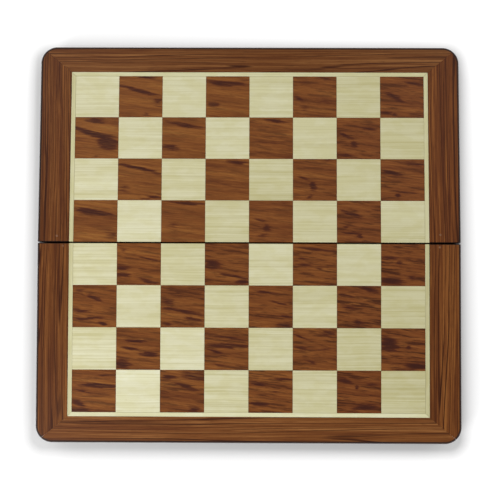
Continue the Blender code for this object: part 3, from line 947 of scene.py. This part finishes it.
def hinge_place(hinge_x):
    """Lays a mesh that was made upright along the fold, in the middle of one hinge."""
    return Matrix.Translation((hinge_x, 0, 0)) @ Matrix.Rotation(math.pi / 2, 4, "Y")


def screw_places(hinge_x):
    """Plan places of one leaf's screws."""
    return [(hinge_x + side * screw_spacing / 2, screw_inset) for side in (-1, 1)]


def dress_hinge_rail(half):
    """The wall along the fold, rebated for the panel, notched for the frame and let in for the hinges."""
    name = half + "_hinge_rail"
    rail_x = P.cavity_x - hairline
    bm = bmesh.new()
    add_box(bm, (-rail_x, rail_x), (P.fold_y, P.hinge_rail_y), (P.rim_z, P.panel_top_z))
    bevel(bm, level_edges(bm, P.rim_z, lambda e: abs(e.verts[0].co.x - e.verts[1].co.x) > overrun), rail_ease)
    body = mesh_from(bm, name)
    beyond = rail_x + overrun
    across = (-overrun, P.hinge_rail_y + overrun)
    above = P.panel_top_z + overrun
    shoulder = P.hinge_rail_y - ledge_width
    tools = [(box_mesh("seat", ((-beyond, beyond), (shoulder, across[1]), (ledge_z, above))), CUT)]
    for inner_x, z_span in (
        (ledge_x - hairline, (P.flange_z - hairline, ledge_z + hairline)),
        (P.frame_x - hairline, (ledge_z, above)),
    ):
        sides = [tuple(sorted((side * inner_x, side * beyond))) for side in (-1, 1)]
        tools.append((box_mesh("notch", *[(x_span, across, z_span) for x_span in sides]), CUT))
    mortises = []
    for hinge_x in hinge_middles():
        reach = hinge_length / 2 + hardware_fit
        z_span = (P.rim_z - overrun, P.rim_z + leaf_thickness + hardware_fit)
        mortises.append(((hinge_x - reach, hinge_x + reach), (-overrun, leaf_width + hardware_fit), z_span))
    tools.append((box_mesh("mortises", *mortises), CUT))
    groove_reach = pin_reach + hardware_fit
    groove = rod_profile(-groove_reach, groove_reach, knuckle_radius + 2 * hardware_fit)
    places = [hinge_place(hinge_x) for hinge_x in hinge_middles()]
    tools.append((turning_mesh("grooves", groove, places), CUT))
    pilot = rod_profile(P.rim_z, P.rim_z + pilot_depth, pilot_radius)
    places = [Matrix.Translation((*place, 0))
              for hinge_x in hinge_middles() for place in screw_places(hinge_x)]
    tools.append((turning_mesh("pilots", pilot, places, pilot_facets), CUT))
    mesh = finished(carved(body, name, tools), name + "_dressed")
    lay_grain(mesh, (1, 0, 0), (0, 1, 0), random_shift())
    add_piece(name + "_dressed", mesh, half, side_wood, "rosewood", name)


def knuckle_span(index):
    """Extent of one knuckle along the hinge, from its middle."""
    pitch = hinge_length / knuckle_count
    low = -hinge_length / 2 + index * pitch
    return low + hardware_fit, low + pitch - hardware_fit


def dress_leaf(name, half, hinge_x, owned):
    """One hinge leaf: eased plate, rolled knuckles, bore for the pin and countersunk screw holes."""
    reach = hinge_length / 2 - hardware_fit
    bm = bmesh.new()
    z_span = (P.rim_z, P.rim_z + leaf_thickness)
    add_box(bm, (hinge_x - reach, hinge_x + reach), (0, leaf_width), z_span)
    uprights = [
        edge for edge in bm.edges
        if all(vertex.co.y > leaf_width / 2 for vertex in edge.verts)
        and abs(edge.verts[0].co.z - edge.verts[1].co.z) > weld_distance
    ]
    bevel(bm, uprights, leaf_corner_radius, leaf_corner_segments)
    outer = level_edges(bm, P.rim_z, lambda edge: max(vertex.co.y for vertex in edge.verts) > weld_distance)
    bevel(bm, outer, leaf_ease, fine_segments)
    plate = mesh_from(bm, name)
    notches = []
    for index in range(knuckle_count):
        if index in owned:
            continue
        low, high = knuckle_span(index)
        low -= 2 * hardware_fit if index > 0 else overrun
        high += 2 * hardware_fit if index < knuckle_count - 1 else overrun
        y_span = (-overrun, knuckle_radius + 2 * hardware_fit)
        z_cut = (z_span[0] - overrun, z_span[1] + overrun)
        notches.append(((hinge_x + low, hinge_x + high), y_span, z_cut))
    tools = [(box_mesh("notches", *notches), CUT)]
    for index in owned:
        low, high = knuckle_span(index)
        profile = rod_profile(low, high, knuckle_radius, knuckle_ease)
        tools.append((turning_mesh("knuckle", profile, [hinge_place(hinge_x)]), JOIN))
    bore = rod_profile(-hinge_length, hinge_length, pin_radius + hardware_fit)
    tools.append((turning_mesh("bore", bore, [hinge_place(hinge_x)]), CUT))
    sink = [
        (0, -hardware_fit), (countersink_radius + countersink_slope * hardware_fit, -hardware_fit),
        (screw_hole_radius, countersink_depth), (screw_hole_radius, leaf_thickness + overrun),
        (0, leaf_thickness + overrun),
    ]
    places = [Matrix.Translation((*place, P.rim_z)) for place in screw_places(hinge_x)]
    tools.append((turning_mesh("holes", sink, places, small_facets), CUT))
    mesh = finished(carved(plate, name, tools), name + "_dressed")
    add_piece(name + "_dressed", mesh, half, brass, "brass", name)


def dress_screw(name, half, x, y):
    """A slotted countersunk screw."""
    head = countersink_radius - countersink_slope * screw_lip - hardware_fit
    neck = screw_hole_radius - hardware_fit
    shank = pilot_radius - hairline
    profile = [
        (0, screw_lip * 0.5), (head * 0.6, screw_lip * 0.55), (head - screw_lip, screw_lip * 0.7),
        (head, screw_lip * 1.4), (neck, countersink_depth), (shank, countersink_depth + 2 * screw_lip),
        (shank, pilot_depth * 0.85), (pilot_radius * 0.3, pilot_depth * 0.97), (0, pilot_depth * 0.98),
    ]
    place = Matrix.Translation((x, y, P.rim_z))
    turned = place @ Matrix.Rotation(chance.uniform(0, math.pi), 4, "Z")
    slot_spans = ((-slot_reach, slot_reach), (-slot_half_width, slot_half_width), (slot_low, slot_high))
    slot_box = box_mesh("slot", slot_spans)
    slot_box.transform(turned)
    mesh = carved(turning_mesh(name, profile, [place], small_facets), name, [(slot_box, CUT)])
    add_piece(name, finished(mesh, name), half, brass, "brass")


def dress_hinges(half, right_sign):
    """The leaves and screws of one half; the rear half also holds the pins."""
    owned = range(0 if half == "rear" else 1, knuckle_count, 2)
    for hinge_x in hinge_middles():
        side = "right" if hinge_x * right_sign > 0 else "left"
        dress_leaf(f"{side}_hinge_{half}_leaf", half, hinge_x, owned)
        for number, (x, y) in enumerate(screw_places(hinge_x), 1):
            dress_screw(f"{side}_hinge_{half}_screw_{number}", half, x, y)
        if half == "rear":
            name = side + "_hinge_pin"
            profile = rod_profile(-pin_reach, pin_reach, pin_radius, pin_ease)
            mesh = turning_mesh(name, profile, [hinge_place(hinge_x)], small_facets)
            add_piece(name + "_dressed", finished(mesh, name + "_dressed"), half, brass, "brass", name)


# Playing surface

def ease_veneer(bm):
    """Eases the top edges of a piece of veneer, and more its edge along the fold."""

    def along_fold(edge):
        return all(abs(vertex.co.y - P.fold_y) < weld_distance for vertex in edge.verts)

    bevel(bm, level_edges(bm, P.top_z, lambda edge: not along_fold(edge)), tile_ease, fine_segments)
    low = P.fold_y + tile_ease
    high = P.top_z - tile_ease
    edges = [edge for edge in bm.edges
             if along_fold(edge) and all(vertex.co.y < low and vertex.co.z > high for vertex in edge.verts)]
    if edges:
        bevel(bm, edges, fold_ease)


def square_span(index, count, pitch, start, edge_inset):
    """One square's extent along a row."""
    low = start + index * pitch + (edge_inset if index == 0 else hairline)
    high = start + (index + 1) * pitch - (hairline if index < count - 1 else inlay_line)
    return low, high


# Painted light on the pale squares: how much whiter a square is made by its place to the left, to the front
# and to both, and a curve
pale_left, pale_front, pale_corner, pale_curve = 0.6, 0.15, 0.25, 1.4


def dress_squares(half, sign):
    """The 32 squares of one half, each a leaf of veneer."""
    for row in range(ranks_per_half):
        for column in range(file_count):
            letter = FILE_LETTERS[column if half == "rear" else file_count - 1 - column]
            rank = ranks_per_half + row + 1 if half == "rear" else ranks_per_half - row
            dark = (column + row) % 2 == 0
            x_span = square_span(column, file_count, file_pitch, -P.field_x, inlay_line)
            y_span = square_span(row, ranks_per_half, rank_pitch, 0, P.fold_y)
            name = f"{'dark' if dark else 'light'}_square_{letter}{rank}"
            bm = bmesh.new()
            add_box(bm, x_span, y_span, (P.panel_top_z + hairline, P.top_z))
            ease_veneer(bm)
            mesh = finished(mesh_from(bm, name), name + "_leaf")
            centre_x = -P.field_x + (column + 0.5) * file_pitch
            centre_y = (row + 0.5) * rank_pitch
            if dark:
                world_column = FILE_LETTERS.index(letter)
                leaf = ranks_per_half - 1 - row if half == "rear" else row
                run = world_column // 2 + (0 if half == "rear" else file_count // 2)
                shift = (-sign * centre_x, -sign * centre_y, leaf_step * leaf + run_step * run - P.top_z)
                lay_grain(mesh, (sign, 0, 0), (0, sign, 0), shift)
                add_piece(name + "_leaf", mesh, half, run_woods[run], "rosewood_veneer", name)
            else:
                left = 1 - FILE_LETTERS.index(letter) / (file_count - 1)
                low = (2 * ranks_per_half - rank) / (2 * ranks_per_half - 1)
                # Painted light: the square is made whiter towards the left and front of the board
                painted_light = (pale_left * left + pale_front * low + pale_corner * low * left) ** pale_curve
                lay_grain(mesh, (sign, 0, 0), (0, sign, 0), random_shift(), shade=painted_light)
                add_piece(name + "_leaf", mesh, half, field_wood, "maple", half + "_light_squares")


# How white each strip is, from 0 to 1: painted light, whitest at the front end and next on the left
STRIP_SHADES = {("rear", "right"): 0.0, ("rear", "left"): 0.25, ("rear", "end"): 0.2,
                ("front", "right"): 0.0, ("front", "left"): 0.35, ("front", "end"): 0.85}


def dress_stringing(half, right_sign):
    """The three pale strips round the squares of one half, mitred at the corners."""
    inner_x = P.field_x + hairline
    outer_x = P.frame_x - hairline
    inner_y = P.field_y + hairline
    outer_y = P.frame_y - hairline
    drop = hairline * math.hypot(1, 1)
    side = [(outer_x, P.fold_y), (outer_x, outer_y - drop), (inner_x, inner_y - drop), (inner_x, P.fold_y)]
    corner = [(inner_x - drop, inner_y), (outer_x - drop, outer_y)]
    outlines = {
        "right": [(right_sign * x, y) for x, y in side],
        "left": [(-right_sign * x, y) for x, y in side],
        "end": corner + mirrored(corner),
    }
    for place, outline in outlines.items():
        name = f"{half}_{place}_stringing"
        bm = bmesh.new()
        add_plate(bm, outline, (P.panel_top_z + hairline, P.top_z))
        bmesh.ops.recalc_face_normals(bm, faces=bm.faces)
        ease_veneer(bm)
        mesh = finished(mesh_from(bm, name), name + "_inlay")
        lay_frame_grain(mesh, place, STRIP_SHADES[half, place])
        add_piece(name + "_inlay", mesh, half, strip_wood, "maple", name)


# Felt

def dress_felt(half):
    """The felt liner glued under the panel: a cut sheet, a little uneven, with soft edges."""
    name = half + "_felt"
    low, high = span(name, half)
    columns, rows = felt_columns, felt_rows
    reach_x = high.x
    bm = bmesh.new()
    layers = []
    for layer in (0, 1):
        grid = []
        for row in range(rows + 1):
            line = []
            for column in range(columns + 1):
                x = -reach_x + 2 * reach_x * column / columns
                y = low.y + (high.y - low.y) * row / rows
                edge = min(reach_x - abs(x), y - low.y, high.y - y)
                soft = felt_edge_ease * max(0.0, 1 - edge / felt_edge_width)
                spot = Vector((x * felt_wave_rate, y * felt_wave_rate, FELT_SEEDS[half]))
                wave = felt_wave * noise.noise(spot)
                z = P.flange_z - hairline if layer else low.z + felt_allowance + wave + soft
                line.append(bm.verts.new((x, y, z)))
            grid.append(line)
        layers.append(grid)
    for layer, grid in enumerate(layers):
        for row in range(rows):
            for column in range(columns):
                corners = grid[row][column:column + 2] + grid[row + 1][column:column + 2][::-1]
                bm.faces.new(corners if layer else corners[::-1])
    bottom, top = layers
    border = [(0, column) for column in range(columns)] + [(row, columns) for row in range(rows)]
    border += [(rows, column) for column in range(columns, 0, -1)] + [(row, 0) for row in range(rows, 0, -1)]
    for (row, column), (next_row, next_column) in zip(border, border[1:] + border[:1]):
        bm.faces.new([
            bottom[row][column], bottom[next_row][next_column], top[next_row][next_column], top[row][column],
        ])
    mesh = finished(mesh_from(bm, name), name + "_liner")
    liner = add_piece(name + "_liner", mesh, half, green_felt, "green_felt", name)


# Studio

# Even light: its level, that of its mirror image straight above, and the heights between which that fades
ambient_level = 0.52
zenith_level = 0.12
zenith_fade = (0.35, 0.85)

# Lamps: name, place, size and level
SOFTBOXES = [("rear_left_softbox", (-0.62, 0.50, 0.90), 0.60, 0.11),
             ("rear_right_softbox", (0.62, 0.50, 0.90), 0.60, 0.07),
             ("front_left_softbox", (-0.46, -0.44, 0.52), 0.30, 0.18)]

# Floor: its reach, and half of what its shaded area, which its painted glow leaves dark, is drawn in by at
# the board's right and rear
floor_reach = 3.0
shade_inset_x = 0.00195
shade_inset_y = 0.0029

# Painted glow that whitens the floor away from that area and so sets the shadow's reach: start, width and
# level, and mappings by place and by distance
fade_start = 0.00875
fade_width = 0.0143
fade_lift = 0.44
lift_by_x = (-0.16, 0.16, -0.07, 0.08)
lift_by_y = (-0.15, 0.15, -0.05, 0.05)
lift_by_distance = ((0.014, 0.06, 0.0, 0.15), (0.05, 1.2, 0.0, 0.5))

# Painted shadow on the floor beyond each end of the fold: its start and end from the board's side, depth and
# width
notch_shadow_start = (-0.005, -0.003)
notch_shadow_end = (0.0045, 0.0072)
notch_shadow_depth = 0.85
notch_shadow_width = (0.0012, 0.0035)

# Camera: sensor and lens in millimetres, nearest distance, place, and turns in degrees
camera_sensor = 36
camera_lens = 50.52
camera_near = 0.01
camera_place = (0.00355, -0.02556, 0.5297)
camera_turns = (("Z", -0.196), ("Y", -0.313), ("X", -2.312))


def softbox(name, place, size, level):
    """A square lamp that faces the board and lights it to the given share of full light."""
    place = Vector(place)
    lamp = bpy.data.lights.new(name, "AREA")
    lamp.shape = "SQUARE"
    lamp.size = size
    lamp.energy = level * math.pi ** 2 * place.length ** 3 / place.z
    held = new_object(name, lamp)
    held.matrix_world = Matrix.Translation(place) @ place.to_track_quat("Z", "Y").to_matrix().to_4x4()


def light_world():
    """Even light from all round, with a white backdrop behind what the camera sees."""
    world = bpy.data.worlds.new("studio")
    bpy.context.scene.world = world
    world.use_nodes = True
    s = Nodes(world.node_tree)
    background = s.tree.nodes["Background"]
    background.inputs["Color"].default_value = (1, 1, 1, 1)
    path = s.node("ShaderNodeLightPath")
    upward = s.parts(s.node("ShaderNodeTexCoord").outputs["Generated"])[2]
    fade = s.steps(upward, *zenith_fade, 1.0, 0.0, "LINEAR")
    seen = s.math("MAXIMUM", path.outputs["Is Camera Ray"], path.outputs["Is Transmission Ray"])
    plain = s.math("ADD", s.math("MULTIPLY", seen, 1 - ambient_level), ambient_level)
    glossy = path.outputs["Is Glossy Ray"]
    above = s.math("ADD", s.math("MULTIPLY", fade, 1 - zenith_level), zenith_level)
    strength = s.math("MULTIPLY", plain, s.math("SUBTRACT", 1, glossy))
    s.feed(background.inputs["Strength"], s.math("ADD", strength, s.math("MULTIPLY", glossy, above)))


def lay_floor():
    """A floor that takes the board's shadow, with a painted glow that whitens it away from the board and sets
    the shadow's reach, and a painted shadow beyond each end of the fold.
    """
    bm = bmesh.new()
    bmesh.ops.create_grid(bm, x_segments=2, y_segments=2, size=floor_reach)
    mesh = mesh_from(bm, "floor")
    floor = new_object("floor", mesh)
    floor.location.z = cad_low.z
    s = Shading("floor")
    paper = s.ramp(s.noise(s.place(), (300, 300, 300), 3), [(0.0, grey(0.85)), (1.0, grey(0.87))])
    s.shader.inputs["Specular IOR Level"].default_value = 0.0
    path = s.node("ShaderNodeLightPath")
    seen = s.math("MAXIMUM", path.outputs["Is Camera Ray"], path.outputs["Is Glossy Ray"])
    seen = s.math("MAXIMUM", seen, path.outputs["Is Transmission Ray"])
    shifted = s.vector("ADD", s.place(), (shade_inset_x, shade_inset_y, 0.0))
    half_size = (cad_high.x - shade_inset_x, cad_high.y - shade_inset_y, 1.0)
    beyond = s.vector("SUBTRACT", s.vector("ABSOLUTE", shifted), half_size)
    away = s.vector("LENGTH", s.vector("MAXIMUM", beyond))
    near = s.math("MULTIPLY_ADD", away, -1 / fade_width, 1 + fade_start / fade_width, clamp=True)
    x, y, _ = s.parts(s.place())
    side = s.math("ABSOLUTE", x)
    # Painted shadow: a dark patch on the floor beyond each end of the fold
    start = s.steps(side, *(cad_high.x + part for part in notch_shadow_start))
    end = s.steps(side, *(cad_high.x + part for part in notch_shadow_end), notch_shadow_depth, 0.0)
    width = s.steps(s.math("ABSOLUTE", y), *notch_shadow_width, 1.0, 0.0)
    notch = s.math("MULTIPLY", s.math("MULTIPLY", start, end), width)
    s.finish(s.mix(notch, paper, grey(0.0)), 0.8)
    # Painted glow, seen by the camera and in reflections: none near the board, more further out, and more to
    # the right and rear
    height = s.math("ADD", fade_lift, s.steps(x, *lift_by_x))
    height = s.math("ADD", height, s.steps(y, *lift_by_y))
    painted_glow = s.math("MULTIPLY", s.math("MULTIPLY_ADD", s.math("MULTIPLY", near, near), -1.0, 1.0), height)
    for mapping in lift_by_distance:
        painted_glow = s.math("ADD", painted_glow, s.steps(away, *mapping))
    s.shader.inputs["Emission Color"].default_value = (1, 1, 1, 1)
    s.feed(s.shader.inputs["Emission Strength"], s.math("MULTIPLY", seen, painted_glow))
    mesh.materials.append(s.material)


def place_camera():
    """The camera over the board, as the photograph was taken."""
    data = bpy.data.cameras.new("camera")
    data.sensor_width = camera_sensor
    data.lens = camera_lens
    data.clip_start = camera_near
    turn = Matrix.Identity(3)
    for axis, degrees in camera_turns:
        turn = turn @ Matrix.Rotation(math.radians(degrees), 3, axis)
    camera = new_object("camera", data)
    camera.matrix_world = Matrix.Translation(camera_place) @ turn.transposed().to_4x4()
    bpy.context.scene.camera = camera


for half in HALVES:
    sign = 1 if half == "rear" else -1
    dress_rails(half, sign)
    dress_hinge_rail(half)
    dress_squares(half, sign)
    dress_stringing(half, sign)
    dress_felt(half)
    dress_hinges(half, sign)
    dress_magnet(half)
    panel = frame["nodes"][half + "_panel"]
    panel.data.materials.clear()
    panel.data.materials.append(ply)

place_camera()
lay_floor()
light_world()
for settings in SOFTBOXES:
    softbox(*settings)

bpy.context.scene.view_settings.view_transform = "Standard"
